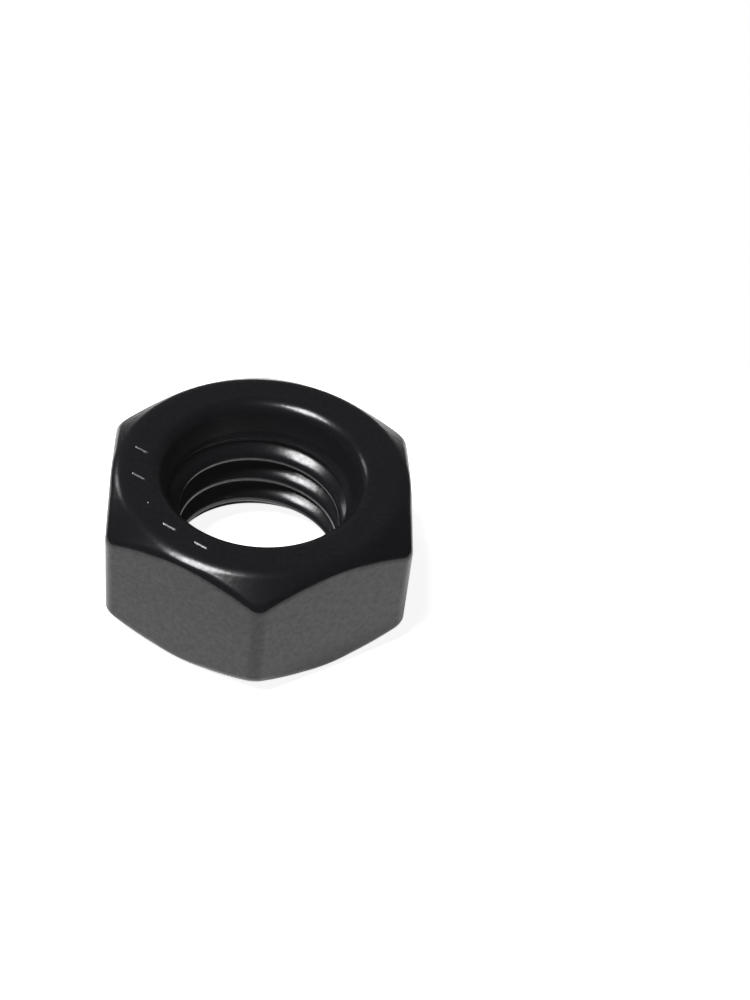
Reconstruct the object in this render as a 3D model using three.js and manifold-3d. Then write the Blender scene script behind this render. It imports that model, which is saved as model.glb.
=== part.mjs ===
// M8 x 1.25 hex nut: one cold-formed and tapped piece of black-finished steel. Millimetres, +Z up.
// The origin is the centre of the bearing face and +Z is the thread axis. The normals of the six
// wrench flats lie at 0, 60, 120 ... degrees from +X, so two corners lie on the Y axis.

import * as THREE from 'three';
import { mergeVertices } from 'three/addons/utils/BufferGeometryUtils.js';
import Module from 'manifold-3d';

// ---- driving dimensions ----

const ACROSS_FLATS = 12.75; // as made, for a 13 mm wrench
const HEIGHT = 6.2;
const CORNER_RADIUS = 0.7; // on the six upright edges

const FACE_DIAMETER = 11.92; // of each face where it meets its chamfer
const CHAMFER_ANGLE = THREE.MathUtils.degToRad(36); // from the face
const FACE_EDGE_RADIUS = 0.95; // rounds each face into its chamfer

const THREAD_DIAMETER = 8;
const PITCH = 1.25;
const BORE_DIAMETER = 6.9; // across the thread's crests
const FLANK_ANGLE = THREE.MathUtils.degToRad(30); // of each flank from a plane across the axis
const CREST_HEIGHT = 0.9; // of the lowest whole crest's middle, on +X

// The bearing face has a plain 90 degree countersink.
const LOWER_RIM_DIAMETER = 8.9;
const LOWER_CONE_ANGLE = THREE.MathUtils.degToRad(45); // from the axis
const LOWER_RIM_ROUND = 0.25;

// The marked face has a wide rounded mouth, a nearly straight wall as wide as the thread's
// roots, and a shoulder that slopes in to the bore.
const UPPER_RIM_DIAMETER = 8.44;
const UPPER_WALL_ANGLE = THREE.MathUtils.degToRad(8); // from the axis
const UPPER_RIM_ROUND = 0.72;
const UPPER_WALL_DEPTH = 1.55;
const SHOULDER_ANGLE = THREE.MathUtils.degToRad(45); // from the axis

// A row of plain parallel bars with one dot in its middle, stamped into the upper face.
const MARK_COUNT = 5;
const MARK_RING_RADIUS = 5.25;
const MARK_FIRST_ANGLE = THREE.MathUtils.degToRad(170);
const MARK_STEP_ANGLE = THREE.MathUtils.degToRad(18);
const MARK_DIRECTION = THREE.MathUtils.degToRad(146); // of each bar from +X
const MARK_LENGTH = 0.78;
const MARK_WIDTH = 0.2;
const MARK_DEPTH = 0.057;
const MARK_DOT_INDEX = 2;

const SIDES = 6;
const CORNER_STEPS = 5;
const ROUND_STEPS = 5;
const BLANK_SEGMENTS = 96;
const BORE_SEGMENTS = 48;
const MARK_END_STEPS = 5;
const CUT_OVERRUN = 1; // how far a cutter runs past the face that it cuts

const steelColour = new THREE.Color(0.028, 0.028, 0.031);

// ---- joining and cutting ----

const wasm = await Module();
wasm.setup();

function solidFrom(geometry) {
  const bare = geometry.clone();
  bare.deleteAttribute('normal');
  bare.deleteAttribute('uv');
  const welded = mergeVertices(bare, 1e-5);
  return new wasm.Manifold(
    new wasm.Mesh({
      numProp: 3,
      vertProperties: new Float32Array(welded.attributes.position.array),
      triVerts: new Uint32Array(welded.index.array),
    }),
  );
}

function geometryFrom(solid) {
  const mesh = solid.getMesh();
  const geometry = new THREE.BufferGeometry();
  geometry.setAttribute('position', new THREE.BufferAttribute(mesh.vertProperties, 3));
  geometry.setIndex(new THREE.BufferAttribute(mesh.triVerts, 1));
  geometry.computeVertexNormals();
  return geometry;
}

// ---- shapes ----

// A body of revolution about Z, from its outline as (radius, height) points.
function turned(outline, segments) {
  return new THREE.LatheGeometry(outline, segments).rotateX(Math.PI / 2);
}

// The points of a round of the given radius that joins two straight edges at a corner.
function roundedCorner(before, corner, after, radius) {
  const toBefore = before.clone().sub(corner).normalize();
  const toAfter = after.clone().sub(corner).normalize();
  const halfAngle = Math.acos(toBefore.dot(toAfter)) / 2;
  const inward = toBefore.clone().add(toAfter).normalize();
  const centre = corner.clone().addScaledVector(inward, radius / Math.sin(halfAngle));
  const reach = radius / Math.tan(halfAngle);
  const start = corner.clone().addScaledVector(toBefore, reach).sub(centre);
  const end = corner.clone().addScaledVector(toAfter, reach).sub(centre);
  const sweep = Math.atan2(start.cross(end), start.dot(end));
  const points = [];
  for (let step = 0; step <= ROUND_STEPS; step += 1) {
    const angle = (sweep * step) / ROUND_STEPS;
    points.push(start.clone().rotateAround(new THREE.Vector2(), angle).add(centre));
  }
  return points;
}

// The hexagon with rounded corners, as an upright prism of the nut's height.
function hexPrismGeometry() {
  const cornerCentre = (ACROSS_FLATS / 2 - CORNER_RADIUS) / Math.cos(Math.PI / SIDES);
  const outline = new THREE.Shape();
  for (let side = 0; side < SIDES; side += 1) {
    const angle = ((side + 0.5) * 2 * Math.PI) / SIDES;
    const x = cornerCentre * Math.cos(angle);
    const y = cornerCentre * Math.sin(angle);
    outline.absarc(x, y, CORNER_RADIUS, angle - Math.PI / SIDES, angle + Math.PI / SIDES, false);
  }
  outline.closePath();
  return new THREE.ExtrudeGeometry(outline, {
    depth: HEIGHT,
    bevelEnabled: false,
    curveSegments: CORNER_STEPS,
  });
}

// The turned envelope that cuts the chamfer on both ends of the hexagon.
function chamferEnvelopeGeometry() {
  const faceRadius = FACE_DIAMETER / 2;
  const reach = ACROSS_FLATS - faceRadius;
  const drop = reach * Math.tan(CHAMFER_ANGLE);
  const at = (radius, height) => new THREE.Vector2(radius, height);
  const lower = roundedCorner(at(0, 0), at(faceRadius, 0), at(faceRadius + reach, drop), FACE_EDGE_RADIUS);
  const upper = lower.map((point) => at(point.x, HEIGHT - point.y)).reverse();
  const waist = at(faceRadius + (HEIGHT / 2) / Math.tan(CHAMFER_ANGLE), HEIGHT / 2);
  return turned([at(0, 0), ...lower, waist, ...upper, at(0, HEIGHT)], BLANK_SEGMENTS);
}

// A countersink that opens downwards at height 0, as a cutter. Its outline below the rounded rim
// is given as (radius, depth) points that end on the axis.
function countersinkGeometry(rimDiameter, rimRound, inner) {
  const rim = new THREE.Vector2(rimDiameter / 2, 0);
  const outside = new THREE.Vector2(rim.x + CUT_OVERRUN, 0);
  const round = roundedCorner(outside, rim, inner[0], rimRound);
  const mouth = new THREE.Vector2(round[0].x, -CUT_OVERRUN);
  const bottom = new THREE.Vector2(0, -CUT_OVERRUN);
  return turned([bottom, mouth, ...round, ...inner], BORE_SEGMENTS);
}

function lowerCountersinkGeometry() {
  const depth = LOWER_RIM_DIAMETER / 2 / Math.tan(LOWER_CONE_ANGLE);
  return countersinkGeometry(LOWER_RIM_DIAMETER, LOWER_RIM_ROUND, [new THREE.Vector2(0, depth)]);
}

function upperCountersinkGeometry() {
  const wallEnd = UPPER_RIM_DIAMETER / 2 - UPPER_WALL_DEPTH * Math.tan(UPPER_WALL_ANGLE);
  const depth = UPPER_WALL_DEPTH + wallEnd / Math.tan(SHOULDER_ANGLE);
  const inner = [new THREE.Vector2(wallEnd, UPPER_WALL_DEPTH), new THREE.Vector2(0, depth)];
  const opensDown = countersinkGeometry(UPPER_RIM_DIAMETER, UPPER_RIM_ROUND, inner);
  return opensDown.rotateX(Math.PI).translate(0, 0, HEIGHT);
}

// The tap: a right-hand 60 degree thread as one closed solid that runs past both faces. Each
// column of points climbs the thread's profile, and each column is turned one step further and
// raised by its share of the pitch. The last column therefore meets the first one pitch higher,
// and a wall closes the step that this leaves at each end.
function tapGeometry() {
  const crestRadius = BORE_DIAMETER / 2;
  const rootRadius = THREAD_DIAMETER / 2;
  const flank = (rootRadius - crestRadius) * Math.tan(FLANK_ANGLE);
  const root = PITCH / 8;
  const crest = PITCH - root - 2 * flank;
  const profile = [
    [crestRadius, 0],
    [crestRadius, crest],
    [rootRadius, crest + flank],
    [rootRadius, crest + flank + root],
  ];
  const start = CREST_HEIGHT - crest / 2;
  const turnsBelow = Math.ceil((start + CUT_OVERRUN) / PITCH) + 1;
  const turns = turnsBelow + Math.ceil((HEIGHT + CUT_OVERRUN - start) / PITCH);
  const bottom = start - turnsBelow * PITCH;
  const rows = turns * profile.length + 1;

  const positions = [];
  for (let column = 0; column < BORE_SEGMENTS; column += 1) {
    const share = column / BORE_SEGMENTS;
    const angle = share * 2 * Math.PI;
    for (let row = 0; row < rows; row += 1) {
      const [radius, rise] = profile[row % profile.length];
      const turn = Math.floor(row / profile.length);
      positions.push(radius * Math.cos(angle), radius * Math.sin(angle));
      positions.push(bottom + (turn + share) * PITCH + rise);
    }
  }
  const bottomCentre = positions.length / 3;
  positions.push(0, 0, bottom);
  const topCentre = bottomCentre + 1;
  positions.push(0, 0, bottom + turns * PITCH);

  const vertex = (column, row) => column * rows + row;
  const triangles = [];
  for (let column = 0; column < BORE_SEGMENTS - 1; column += 1) {
    for (let row = 0; row < rows - 1; row += 1) {
      const low = vertex(column, row);
      const high = vertex(column, row + 1);
      const nextLow = vertex(column + 1, row);
      const nextHigh = vertex(column + 1, row + 1);
      triangles.push(low, nextLow, nextHigh, low, nextHigh, high);
    }
    triangles.push(bottomCentre, vertex(column + 1, 0), vertex(column, 0));
    triangles.push(topCentre, vertex(column, rows - 1), vertex(column + 1, rows - 1));
  }

  const last = BORE_SEGMENTS - 1;
  const onePitch = profile.length;
  for (let row = 0; row < rows - 1 - onePitch; row += 1) {
    const low = vertex(last, row);
    const high = vertex(last, row + 1);
    const nextLow = vertex(0, row + onePitch);
    const nextHigh = vertex(0, row + onePitch + 1);
    triangles.push(low, nextLow, nextHigh, low, nextHigh, high);
  }
  triangles.push(bottomCentre, vertex(0, onePitch), vertex(last, 0));
  triangles.push(topCentre, vertex(last, rows - 1 - onePitch), vertex(0, rows - 1));
  for (let step = 0; step < onePitch; step += 1) {
    triangles.push(bottomCentre, vertex(0, step), vertex(0, step + 1));
    const top = rows - 1 - step;
    triangles.push(topCentre, vertex(last, top), vertex(last, top - 1));
  }

  const geometry = new THREE.BufferGeometry();
  geometry.setAttribute('position', new THREE.Float32BufferAttribute(positions, 3));
  geometry.setIndex(triangles);
  return geometry;
}

// One shallow stamped mark on the top face: a bar with round ends, or a dot.
function markGeometry(index) {
  const endRadius = MARK_WIDTH / 2;
  const isDot = index === MARK_DOT_INDEX;
  const halfStraight = isDot ? 0 : MARK_LENGTH / 2 - endRadius;
  const outline = new THREE.Shape();
  outline.absarc(halfStraight, 0, endRadius, -Math.PI / 2, Math.PI / 2, false);
  outline.absarc(-halfStraight, 0, endRadius, Math.PI / 2, Math.PI * 1.5, false);
  outline.closePath();
  const geometry = new THREE.ExtrudeGeometry(outline, {
    depth: MARK_DEPTH + CUT_OVERRUN,
    bevelEnabled: false,
    curveSegments: MARK_END_STEPS,
  });
  const place = MARK_FIRST_ANGLE + index * MARK_STEP_ANGLE;
  const x = MARK_RING_RADIUS * Math.cos(place);
  const y = MARK_RING_RADIUS * Math.sin(place);
  return geometry.rotateZ(MARK_DIRECTION).translate(x, y, HEIGHT - MARK_DEPTH);
}

// ---- the nut ----

function hexNut() {
  let solid = solidFrom(hexPrismGeometry());
  solid = solid.intersect(solidFrom(chamferEnvelopeGeometry()));
  solid = solid.subtract(solidFrom(tapGeometry()));
  solid = solid.subtract(solidFrom(lowerCountersinkGeometry()));
  solid = solid.subtract(solidFrom(upperCountersinkGeometry()));
  for (let index = 0; index < MARK_COUNT; index += 1) {
    solid = solid.subtract(solidFrom(markGeometry(index)));
  }
  const material = new THREE.MeshStandardMaterial({
    color: steelColour,
    roughness: 0.3,
    metalness: 0.3,
  });
  const mesh = new THREE.Mesh(geometryFrom(solid), material);
  mesh.name = 'hex_nut';
  return mesh;
}

const nut = new THREE.Group();
nut.add(hexNut());

export default nut;
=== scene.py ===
import math

import bpy
import numpy as np
from mathutils import Euler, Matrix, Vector


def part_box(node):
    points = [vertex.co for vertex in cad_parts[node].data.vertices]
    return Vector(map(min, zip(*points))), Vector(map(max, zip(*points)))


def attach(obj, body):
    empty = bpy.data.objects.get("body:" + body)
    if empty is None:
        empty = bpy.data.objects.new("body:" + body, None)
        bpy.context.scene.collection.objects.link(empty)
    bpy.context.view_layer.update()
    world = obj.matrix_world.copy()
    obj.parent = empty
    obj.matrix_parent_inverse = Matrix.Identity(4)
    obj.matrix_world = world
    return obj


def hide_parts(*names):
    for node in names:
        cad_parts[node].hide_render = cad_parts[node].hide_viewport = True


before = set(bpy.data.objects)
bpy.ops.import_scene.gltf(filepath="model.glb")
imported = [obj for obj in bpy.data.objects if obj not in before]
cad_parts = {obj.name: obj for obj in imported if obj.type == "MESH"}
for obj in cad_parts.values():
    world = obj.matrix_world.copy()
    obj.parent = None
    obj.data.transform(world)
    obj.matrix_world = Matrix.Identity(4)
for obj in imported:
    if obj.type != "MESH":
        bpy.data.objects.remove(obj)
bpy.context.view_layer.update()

MM = 0.001

# ---- sizes, in millimetres; the overall ones come from the CAD node ----

LOW, HIGH = (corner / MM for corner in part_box("hex_nut"))
ACROSS_FLATS = HIGH.x - LOW.x
HEIGHT = HIGH.z - LOW.z
SIDES = 6
CORNER_RADIUS = 0.7

FACE_RADIUS = 5.96
CHAMFER_ANGLE = math.radians(36)
FACE_EDGE_RADIUS = 0.95
FLAT_EDGE_RADIUS = 0.6
CHAMFER_SHARE = 0.9  # the most of the chamfer's straight part that the flat's round may take

PITCH = 1.25
CREST_RADIUS = 3.45
ROOT_RADIUS = 4.0
ROOT_FLAT = PITCH / 8
FLANK_ANGLE = math.radians(30)
CREST_HEIGHT = 0.9  # height of a crest's middle in the direction of +X
THREAD_ROUNDING = 0.75  # length along the axis over which crests and roots are rounded

LOWER_RIM_RADIUS = 4.45
LOWER_CONE_ANGLE = math.radians(45)
LOWER_RIM_ROUND = 0.25

UPPER_RIM_RADIUS = 4.22
UPPER_WALL_ANGLE = math.radians(8)
UPPER_RIM_ROUND = 0.72
UPPER_WALL_DEPTH = 1.55
WALL_FOOT_ROUND = 0.6
SHOULDER_ANGLE = math.radians(45)
BORE_BLEND = 0.06

MARK_ANGLES = np.radians([170, 188, 206, 224, 242])
MARK_DOT = 2  # the mark that is a dot; the others are bars
MARK_RING_RADIUS = 5.25
MARK_DIRECTION = math.radians(146)
MARK_LENGTH = 0.78
MARK_WIDTH = 0.2
MARK_DEPTH = 0.057

# ---- how finely the mesh is divided ----

# columns of the outside, from the middle of a flat to the middle of a corner
FLAT_COLUMNS = 18
CORNER_COLUMNS = 9
CORNER_LEAD = math.radians(0.2)

# rings of the outside; the rows are shares of the chamfer, and of the flat down to half the height
FACE_EDGE_STEPS = 12
CHAMFER_ROWS = (0.06, 0.35, 0.65, 0.94)
FLAT_EDGE_STEPS = 12
FLAT_ROWS = (0.02, 0.12, 0.24, 0.36, 0.48, 0.6, 0.72, 0.84, 0.95)

# the bore; the thread's rings start a little above the foot of the wall
BORE_COLUMNS = 240
LOWER_RIM_STEPS = 8
UPPER_RIM_STEPS = 20
WALL_FOOT_STEPS = 12
WALL_ROWS = 13
THREAD_ROWS = 171
THREAD_LEAD = 0.25
THREAD_SAMPLES = 400

# the marked face: columns before, across and after the marks, and its rings
MARK_MARGIN = math.radians(9)
COLUMNS_BEFORE_MARKS = 80
MARK_COLUMNS = 360
COLUMNS_AFTER_MARKS = 56
FACE_RINGS = 32
SUPPORT = 0.02  # width, in millimetres, of the narrow rings that keep a face flat up to its edge

# ---- the finish; bump distances in metres ----

DARK_BLACK = (0.0066, 0.0064, 0.0082, 1)
LIGHT_BLACK = (0.0090, 0.0087, 0.0110, 1)
FINISH_IOR = 1.5
# scale and detail of each noise
PATCHES = (700.0, 4.0)
WAVES = (2400.0, 2.0)
MOTTLE = (5000.0, 4.0)
MOTTLE_RANGE = (0.3, 0.7)
ROUGHNESS_RANGE = (0.19, 0.24)
BARE_METAL_RANGE = (0.06, 0.38)
# strength and distance of each bump
WAVE_BUMP = (0.6, 0.000008)
MOTTLE_BUMP = (0.5, 0.000005)

# ---- stage, light and camera; in metres and watts unless said otherwise ----

FLOOR_RADIUS = 0.03
FLOOR_SIDES = 96
FLOOR_GAP = 0.00001
FLOOR_COLOUR = 0.9
FLOOR_ROUGHNESS = 0.9
FLOOR_GLOW = 0.36
FLOOR_WHITE = 0.9

ROOM_DARK = 0.02
ROOM_GLOW = 0.08
ROOM_RAMP = (0.25, 0.75)
FILM_LIFT = 0.004

SOFTBOX_DISTANCE = 0.3
# name, direction from the nut, width, power
SOFTBOXES = (
    ("key", (-0.39, -0.1945, 0.9), 0.11, 1.2),
    ("back_left", (-0.68, 0.59, 0.43), 0.05, 0.05),
)

CAMERA_AIM = (5.117, 1.788, 3.1)  # millimetres
CAMERA_DISTANCE = 83.18  # millimetres
CAMERA_HEADING = math.radians(6.82)
CAMERA_DOWN = math.radians(43.35)
CAMERA_ROLL = math.radians(7.43)
CAMERA_LENS = 67.6  # millimetres, and the sensor too
SENSOR_HEIGHT = 36
CLIP_NEAR = 0.001
CLIP_FAR = 20


# ---- mesh building ----


class Shell:
    """A closed surface made of rings of points around Z, joined to their neighbours."""

    def __init__(self):
        self.points = []
        self.faces = []
        self.count = 0

    def ring(self, angles, radii, heights):
        """Add a ring of points, and return its angles and the points' numbers."""
        radii = np.broadcast_to(radii, angles.shape)
        heights = np.broadcast_to(heights, angles.shape)
        self.points.append(np.column_stack([radii * np.cos(angles), radii * np.sin(angles), heights]))
        first = self.count
        self.count += len(angles)
        return angles, np.arange(first, self.count)

    def strip(self, a, b):
        """Quads between two rings with the same angles."""
        ia, ib = a[1], b[1]
        ja, jb = np.roll(ia, -1), np.roll(ib, -1)
        self.faces += np.column_stack([ia, ja, jb, ib]).tolist()

    def zipper(self, a, b):
        """Triangles between two rings with different angles, both of which start at angle 0."""
        angle_a, ia = np.append(a[0], 2 * math.pi), np.append(a[1], a[1][0])
        angle_b, ib = np.append(b[0], 2 * math.pi), np.append(b[1], b[1][0])
        i = j = 0
        while i < len(ia) - 1 or j < len(ib) - 1:
            step_a = j == len(ib) - 1 or (i < len(ia) - 1 and angle_a[i + 1] <= angle_b[j + 1])
            if step_a:
                self.faces.append([int(ia[i]), int(ia[i + 1]), int(ib[j])])
                i += 1
            else:
                self.faces.append([int(ia[i]), int(ib[j + 1]), int(ib[j])])
                j += 1

    def object(self, name):
        """The rings as a smooth-shaded object in the scene, in metres."""
        mesh = bpy.data.meshes.new(name)
        points = np.concatenate(self.points) * MM
        mesh.from_pydata(points.tolist(), [], self.faces)
        mesh.polygons.foreach_set("use_smooth", [True] * len(mesh.polygons))
        mesh.update()
        made = bpy.data.objects.new(name, mesh)
        bpy.context.scene.collection.objects.link(made)
        return made


def fillet(before, corner, after, radius, steps):
    """Points along the arc that rounds a corner between two straight edges."""
    before, corner, after = (np.array(p, float) for p in (before, corner, after))
    to_before = (before - corner) / np.linalg.norm(before - corner)
    to_after = (after - corner) / np.linalg.norm(after - corner)
    half = math.acos(np.clip(to_before @ to_after, -1, 1)) / 2
    inward = (to_before + to_after) / np.linalg.norm(to_before + to_after)
    centre = corner + inward * radius / math.sin(half)
    start = corner + to_before * radius / math.tan(half) - centre
    end = corner + to_after * radius / math.tan(half) - centre
    sweep = math.atan2(start[0] * end[1] - start[1] * end[0], start @ end)
    turn = np.linspace(0, sweep, steps + 1)
    x = start[0] * np.cos(turn) - start[1] * np.sin(turn)
    y = start[0] * np.sin(turn) + start[1] * np.cos(turn)
    return np.column_stack([x, y]) + centre


def smooth_max(a, b, width):
    """The larger of two values, rounded where they differ by less than a width."""
    overlap = np.clip(1 - np.abs(a - b) / width, 0, 1)
    return np.maximum(a, b) + width / 4 * overlap**2


# ---- the outside ----

CORNER_CENTRE = (ACROSS_FLATS / 2 - CORNER_RADIUS) / math.cos(math.pi / SIDES)
FLAT_END = math.atan(CORNER_CENTRE * math.sin(math.pi / SIDES) / (ACROSS_FLATS / 2))


def outline_radius(angles):
    """Distance from the axis to the hexagon with rounded corners."""
    sector = 2 * math.pi / SIDES
    off_flat = np.abs((angles + sector / 2) % sector - sector / 2)
    off_corner = sector / 2 - off_flat
    flat = ACROSS_FLATS / 2 / np.cos(off_flat)
    across = CORNER_CENTRE * np.sin(off_corner)
    arc = CORNER_CENTRE * np.cos(off_corner) + np.sqrt(np.maximum(CORNER_RADIUS**2 - across**2, 0))
    return np.where(off_flat <= FLAT_END, flat, arc)


def outline_angles():
    """Angles all round, close together on the rounded corners, starting at 0."""
    half = math.pi / SIDES
    flat = np.linspace(0, FLAT_END - CORNER_LEAD, FLAT_COLUMNS)
    corner = np.linspace(FLAT_END, half, CORNER_COLUMNS)
    quarter = np.concatenate([flat, corner])
    sector = np.concatenate([quarter, (2 * half - quarter)[::-1][1:-1]])
    return np.concatenate([sector + side * 2 * half for side in range(SIDES)])


def outside_rows(angles):
    """(radii, heights) of each ring from the upper face's edge down to the lower one."""
    outline = outline_radius(angles)
    slope = math.tan(CHAMFER_ANGLE)
    chamfer_point = (FACE_RADIUS + 1, slope)
    face_edge = fillet((0, 0), (FACE_RADIUS, 0), chamfer_point, FACE_EDGE_RADIUS, FACE_EDGE_STEPS)
    rows = [(np.full_like(outline, r), np.full_like(outline, d)) for r, d in face_edge]

    # where the chamfer is short, in the middle of each flat, the flat's round is smaller
    bend = math.pi / 2 - CHAMFER_ANGLE
    corner_drop = (outline - FACE_RADIUS) * slope
    straight = corner_drop / math.sin(CHAMFER_ANGLE) - FACE_EDGE_RADIUS * math.tan(CHAMFER_ANGLE / 2)
    reach = np.minimum(FLAT_EDGE_RADIUS * math.tan(bend / 2), CHAMFER_SHARE * straight)
    edge_radius = reach / math.tan(bend / 2)

    # the straight part of the chamfer
    start_r = outline - reach * math.cos(CHAMFER_ANGLE)
    start_d = corner_drop - reach * math.sin(CHAMFER_ANGLE)
    last_r, last_d = rows[-1]
    for t in CHAMFER_ROWS:
        rows.append((last_r + (start_r - last_r) * t, last_d + (start_d - last_d) * t))

    # the round from the chamfer into the flat
    centre_r = outline - edge_radius
    centre_d = corner_drop + reach
    for step in range(FLAT_EDGE_STEPS + 1):
        tilt = CHAMFER_ANGLE + bend * step / FLAT_EDGE_STEPS
        rows.append((centre_r + edge_radius * math.sin(tilt), centre_d - edge_radius * math.cos(tilt)))

    # the flat, down to half the height
    flat_start = rows[-1][1]
    for t in FLAT_ROWS:
        rows.append((outline, flat_start + (HEIGHT / 2 - flat_start) * t))
    upper = [(r, HEIGHT - d) for r, d in rows]
    return upper + [(outline, np.full_like(outline, HEIGHT / 2))] + rows[::-1]


# ---- the bore ----


def thread_profile():
    """Radius against distance above a crest's middle, over one pitch, with rounded crests."""
    offset = np.linspace(-PITCH / 2, PITCH / 2, THREAD_SAMPLES, endpoint=False)
    depth = ROOT_RADIUS - CREST_RADIUS
    flank = depth * math.tan(FLANK_ANGLE)
    crest = PITCH - ROOT_FLAT - 2 * flank
    sharp = CREST_RADIUS + depth * np.clip((np.abs(offset) - crest / 2) / flank, 0, 1)
    window = np.cos(np.clip(offset / THREAD_ROUNDING, -0.5, 0.5) * math.pi) ** 2
    window /= window.sum()
    rounded = np.fft.ifft(np.fft.fft(sharp) * np.fft.fft(np.fft.ifftshift(window))).real
    share = (rounded - rounded.min()) / (rounded.max() - rounded.min())
    return offset, CREST_RADIUS + depth * share


def lower_outline():
    """(radius, height) of the bearing face's countersink, from the face inwards."""
    corner = (LOWER_RIM_RADIUS, 0)
    tip = (0, LOWER_RIM_RADIUS / math.tan(LOWER_CONE_ANGLE))
    rim = fillet((LOWER_RIM_RADIUS + 1, 0), corner, tip, LOWER_RIM_ROUND, LOWER_RIM_STEPS)
    return np.vstack([rim, tip])


def upper_outline():
    """(radius, depth) of the marked face's rim, and then of its whole mouth, inwards."""
    wall_end = UPPER_RIM_RADIUS - UPPER_WALL_DEPTH * math.tan(UPPER_WALL_ANGLE)
    corner, foot = (UPPER_RIM_RADIUS, 0), (wall_end, UPPER_WALL_DEPTH)
    tip = (0, UPPER_WALL_DEPTH + wall_end / math.tan(SHOULDER_ANGLE))
    rim = fillet((UPPER_RIM_RADIUS + 1, 0), corner, foot, UPPER_RIM_ROUND, UPPER_RIM_STEPS)
    wall_foot = fillet(corner, foot, tip, WALL_FOOT_ROUND, WALL_FOOT_STEPS)
    return rim, np.vstack([rim, wall_foot, tip])


def bore_rows(angles):
    """(radii, height) of each ring of the bore from the upper face down to the lower one."""
    lower = lower_outline()
    rim, upper = upper_outline()
    offset, radius = thread_profile()
    top = HEIGHT - rim[:, 1]
    bottom = lower[:-1, 1][::-1]
    thread_start = HEIGHT - UPPER_WALL_DEPTH + THREAD_LEAD
    wall = np.linspace(top[-1], thread_start, WALL_ROWS + 1)[1:]
    thread = np.linspace(thread_start, bottom[0], THREAD_ROWS + 1)[1:]
    crest = CREST_HEIGHT + PITCH * angles / (2 * math.pi)
    rows = []
    for z in np.concatenate([top, wall, thread, bottom[1:]]):
        above = (z - crest + PITCH / 2) % PITCH - PITCH / 2
        tapped = np.interp(above, offset, radius, period=PITCH)
        sunk = max(
            np.interp(z, lower[:, 1], lower[:, 0]),
            np.interp(HEIGHT - z, upper[:, 1], upper[:, 0]),
        )
        rows.append((smooth_max(tapped, sunk, BORE_BLEND), z))
    return rows


# ---- the stamped marks ----


def mark_depth(angles, radius):
    """Depth of the stamped bars and dot at each point of a ring on the upper face."""
    depth = np.zeros_like(angles)
    along = (math.cos(MARK_DIRECTION), math.sin(MARK_DIRECTION))
    for index, centre in enumerate(MARK_ANGLES):
        x = radius * np.cos(angles) - MARK_RING_RADIUS * math.cos(centre)
        y = radius * np.sin(angles) - MARK_RING_RADIUS * math.sin(centre)
        half = 0 if index == MARK_DOT else (MARK_LENGTH - MARK_WIDTH) / 2
        place = np.clip(x * along[0] + y * along[1], -half, half)
        away = np.hypot(x - place * along[0], y - place * along[1])
        depth = np.maximum(depth, MARK_DEPTH * np.clip(1 - away / (MARK_WIDTH / 2), 0, 1))
    return depth


def mark_angles():
    """Angles all round, close together where the marks are, starting at 0."""
    first, last = MARK_ANGLES[0] - MARK_MARGIN, MARK_ANGLES[-1] + MARK_MARGIN
    before = np.linspace(0, first, COLUMNS_BEFORE_MARKS, endpoint=False)
    fine = np.linspace(first, last, MARK_COLUMNS, endpoint=False)
    after = np.linspace(last, 2 * math.pi, COLUMNS_AFTER_MARKS, endpoint=False)
    return np.concatenate([before, fine, after])


def build_nut():
    """The whole nut as one closed mesh."""
    shell = Shell()
    bore_angles = np.linspace(0, 2 * math.pi, BORE_COLUMNS, endpoint=False)
    outer_angles = outline_angles()
    face_angles = mark_angles()

    outside = [shell.ring(outer_angles, r, z) for r, z in outside_rows(outer_angles)]
    bore = [shell.ring(bore_angles, r, z) for r, z in bore_rows(bore_angles)]
    for first, second in zip(outside, outside[1:]):
        shell.strip(second, first)
    for first, second in zip(bore, bore[1:]):
        shell.strip(first, second)

    upper_mouth, lower_mouth = upper_outline()[0][0, 0], lower_outline()[0, 0]
    edge_radius = outside_rows(outer_angles)[0][0][0]

    # the lower face, from the bore's rim out to the chamfer's edge
    inner_low = shell.ring(bore_angles, lower_mouth + SUPPORT, 0)
    outer_low = shell.ring(outer_angles, edge_radius - SUPPORT, 0)
    shell.strip(bore[-1], inner_low)
    shell.zipper(inner_low, outer_low)
    shell.strip(outer_low, outside[-1])

    # the upper face, with the marks
    inner_high = shell.ring(bore_angles, upper_mouth + SUPPORT, HEIGHT)
    outer_high = shell.ring(outer_angles, edge_radius - SUPPORT, HEIGHT)
    radii = np.linspace(upper_mouth + 2 * SUPPORT, edge_radius - 2 * SUPPORT, FACE_RINGS)
    face = [shell.ring(face_angles, r, HEIGHT - mark_depth(face_angles, r)) for r in radii]
    shell.strip(inner_high, bore[0])
    shell.zipper(face[0], inner_high)
    for first, second in zip(face, face[1:]):
        shell.strip(second, first)
    shell.zipper(outer_high, face[-1])
    shell.strip(outside[0], outer_high)
    return shell.object("hex_nut_fine")


# ---- the black finish ----


def node(tree, kind, inputs=None):
    """A new node, with each input linked when it is given a socket and set otherwise."""
    made = tree.nodes.new(kind)
    for name, value in (inputs or {}).items():
        if isinstance(value, bpy.types.NodeSocket):
            tree.links.new(value, made.inputs[name])
        else:
            made.inputs[name].default_value = value
    return made


def noise(tree, place, scale, detail):
    sockets = {"Vector": place, "Scale": scale, "Detail": detail}
    return node(tree, "ShaderNodeTexNoise", sockets).outputs["Fac"]


def spread(tree, mottle, start, end):
    """The mottle's usual range mapped onto another one."""
    sockets = {
        "Value": mottle,
        "From Min": MOTTLE_RANGE[0],
        "From Max": MOTTLE_RANGE[1],
        "To Min": start,
        "To Max": end,
    }
    return node(tree, "ShaderNodeMapRange", sockets).outputs["Result"]


def bump(tree, height, strength, distance, **more):
    sockets = {"Height": height, "Strength": strength, "Distance": distance, **more}
    return node(tree, "ShaderNodeBump", sockets).outputs["Normal"]


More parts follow.
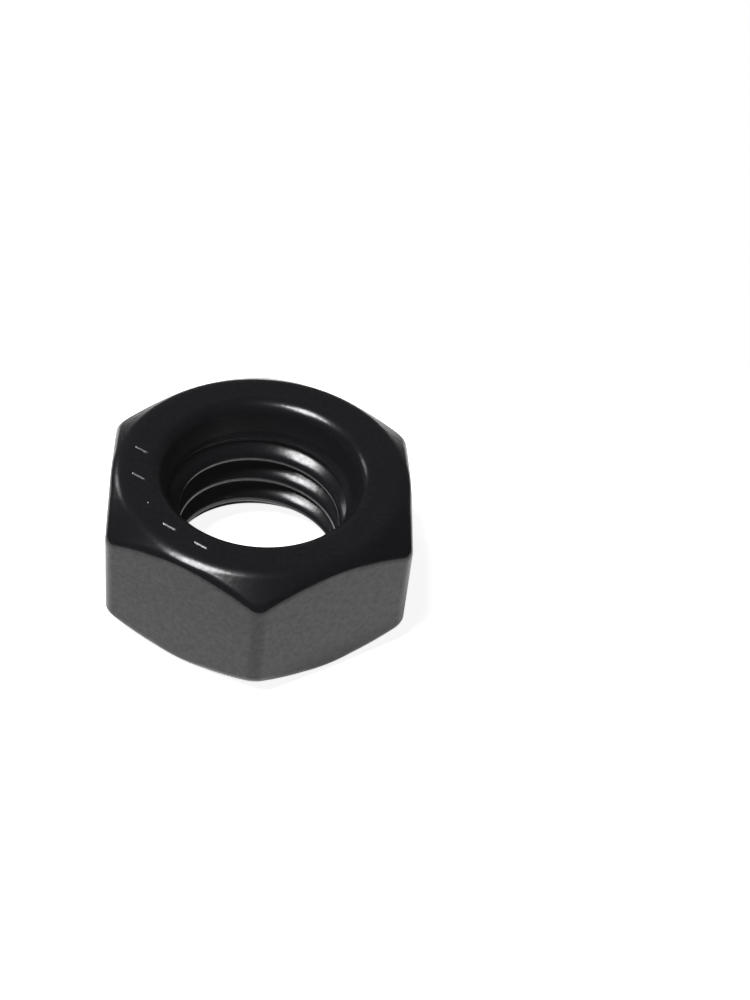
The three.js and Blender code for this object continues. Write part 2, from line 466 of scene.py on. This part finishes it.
def black_finish():
    """A black finish on steel, with small changes in tone, gloss and bare metal."""
    material = bpy.data.materials.new("black_finish")
    material.use_nodes = True
    tree = material.node_tree
    shader = tree.nodes["Principled BSDF"]
    shader.inputs["IOR"].default_value = FINISH_IOR
    place = node(tree, "ShaderNodeTexCoord").outputs["Object"]
    patches = noise(tree, place, *PATCHES)
    waves = noise(tree, place, *WAVES)
    mottle = noise(tree, place, *MOTTLE)

    colour = node(tree, "ShaderNodeValToRGB", {"Fac": patches})
    for element, black in zip(colour.color_ramp.elements, (DARK_BLACK, LIGHT_BLACK)):
        element.color = black
    normal = bump(tree, mottle, *MOTTLE_BUMP, Normal=bump(tree, waves, *WAVE_BUMP))

    tree.links.new(colour.outputs["Color"], shader.inputs["Base Color"])
    tree.links.new(spread(tree, mottle, *ROUGHNESS_RANGE), shader.inputs["Roughness"])
    tree.links.new(spread(tree, mottle, *BARE_METAL_RANGE), shader.inputs["Metallic"])
    tree.links.new(normal, shader.inputs["Normal"])
    return material


# ---- stage, light and camera ----


def grey(level):
    return (level, level, level, 1)


def build_floor():
    """A small white disc just below the nut, lighter to the camera than to the nut."""
    turns = np.linspace(0, 2 * math.pi, FLOOR_SIDES, endpoint=False)
    rim = [(FLOOR_RADIUS * math.cos(a), FLOOR_RADIUS * math.sin(a), -FLOOR_GAP) for a in turns]
    mesh = bpy.data.meshes.new("floor")
    mesh.from_pydata(rim, [], [list(range(len(rim)))])
    floor = bpy.data.objects.new("floor", mesh)
    bpy.context.scene.collection.objects.link(floor)
    material = bpy.data.materials.new("floor_white")
    material.use_nodes = True
    tree = material.node_tree
    shader = tree.nodes["Principled BSDF"]
    shader.inputs["Base Color"].default_value = grey(FLOOR_COLOUR)
    shader.inputs["Roughness"].default_value = FLOOR_ROUGHNESS
    shader.inputs["Specular IOR Level"].default_value = 0
    shader.inputs["Emission Color"].default_value = grey(1)
    seen = node(tree, "ShaderNodeLightPath").outputs["Is Camera Ray"]
    glow = node(tree, "ShaderNodeMapRange", {"Value": seen, "To Min": FLOOR_GLOW, "To Max": FLOOR_WHITE})
    tree.links.new(glow.outputs["Result"], shader.inputs["Emission Strength"])
    # clear from below, so that the nut's bearing face can be seen
    below = node(tree, "ShaderNodeNewGeometry").outputs["Backfacing"]
    clear = node(tree, "ShaderNodeBsdfTransparent").outputs["BSDF"]
    sides = node(tree, "ShaderNodeMixShader", {0: below, 1: shader.outputs["BSDF"], 2: clear})
    tree.links.new(sides.outputs["Shader"], tree.nodes["Material Output"].inputs["Surface"])
    mesh.materials.append(material)


def build_backdrop():
    """Plain white where the camera sees it, and a dark room with a dim glow behind the nut."""
    world = bpy.data.worlds.new("studio")
    world.use_nodes = True
    tree = world.node_tree
    direction = node(tree, "ShaderNodeTexCoord").outputs["Generated"]
    behind = node(tree, "ShaderNodeSeparateXYZ", {"Vector": direction}).outputs["Y"]
    room = node(tree, "ShaderNodeValToRGB", {"Fac": behind})
    levels = (ROOM_DARK, ROOM_GLOW)
    for element, position, level in zip(room.color_ramp.elements, ROOM_RAMP, levels):
        element.position = position
        element.color = grey(level)
    seen = node(tree, "ShaderNodeLightPath").outputs["Is Camera Ray"]
    sockets = {"Fac": seen, "Color1": room.outputs["Color"], "Color2": grey(1)}
    mix = node(tree, "ShaderNodeMixRGB", sockets)
    tree.links.new(mix.outputs["Color"], tree.nodes["Background"].inputs["Color"])
    bpy.context.scene.world = world


def build_softbox(name, towards, width, watts):
    """A square lamp that faces the nut."""
    data = bpy.data.lights.new(name, "AREA")
    data.shape = "SQUARE"
    data.size = width
    data.energy = watts
    light = bpy.data.objects.new(name, data)
    direction = Vector(towards).normalized()
    light.location = direction * SOFTBOX_DISTANCE
    light.rotation_euler = direction.to_track_quat("Z", "Y").to_euler()
    bpy.context.scene.collection.objects.link(light)


def build_camera():
    """The camera, turned about the point it aims at."""
    data = bpy.data.cameras.new("camera")
    data.sensor_fit = "VERTICAL"
    data.sensor_height = SENSOR_HEIGHT
    data.lens = CAMERA_LENS
    data.clip_start = CLIP_NEAR
    data.clip_end = CLIP_FAR
    camera = bpy.data.objects.new("camera", data)
    gaze = Euler((math.pi / 2 - CAMERA_DOWN, 0, -CAMERA_HEADING), "XYZ").to_matrix()
    turn = gaze @ Euler((0, 0, CAMERA_ROLL)).to_matrix()
    camera.matrix_world = turn.to_4x4()
    camera.location = Vector(CAMERA_AIM) * MM + turn @ Vector((0, 0, CAMERA_DISTANCE * MM))
    bpy.context.scene.collection.objects.link(camera)
    bpy.context.scene.camera = camera


nut = build_nut()
nut.data.materials.append(black_finish())
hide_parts("hex_nut")
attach(nut, "root")

build_floor()
build_backdrop()
for softbox in SOFTBOXES:
    build_softbox(*softbox)
build_camera()

# the film lifts black a little
film = bpy.context.scene.view_settings
film.view_transform = "Standard"
film.use_curve_mapping = True
film.curve_mapping.black_level = (-FILM_LIFT,) * 3
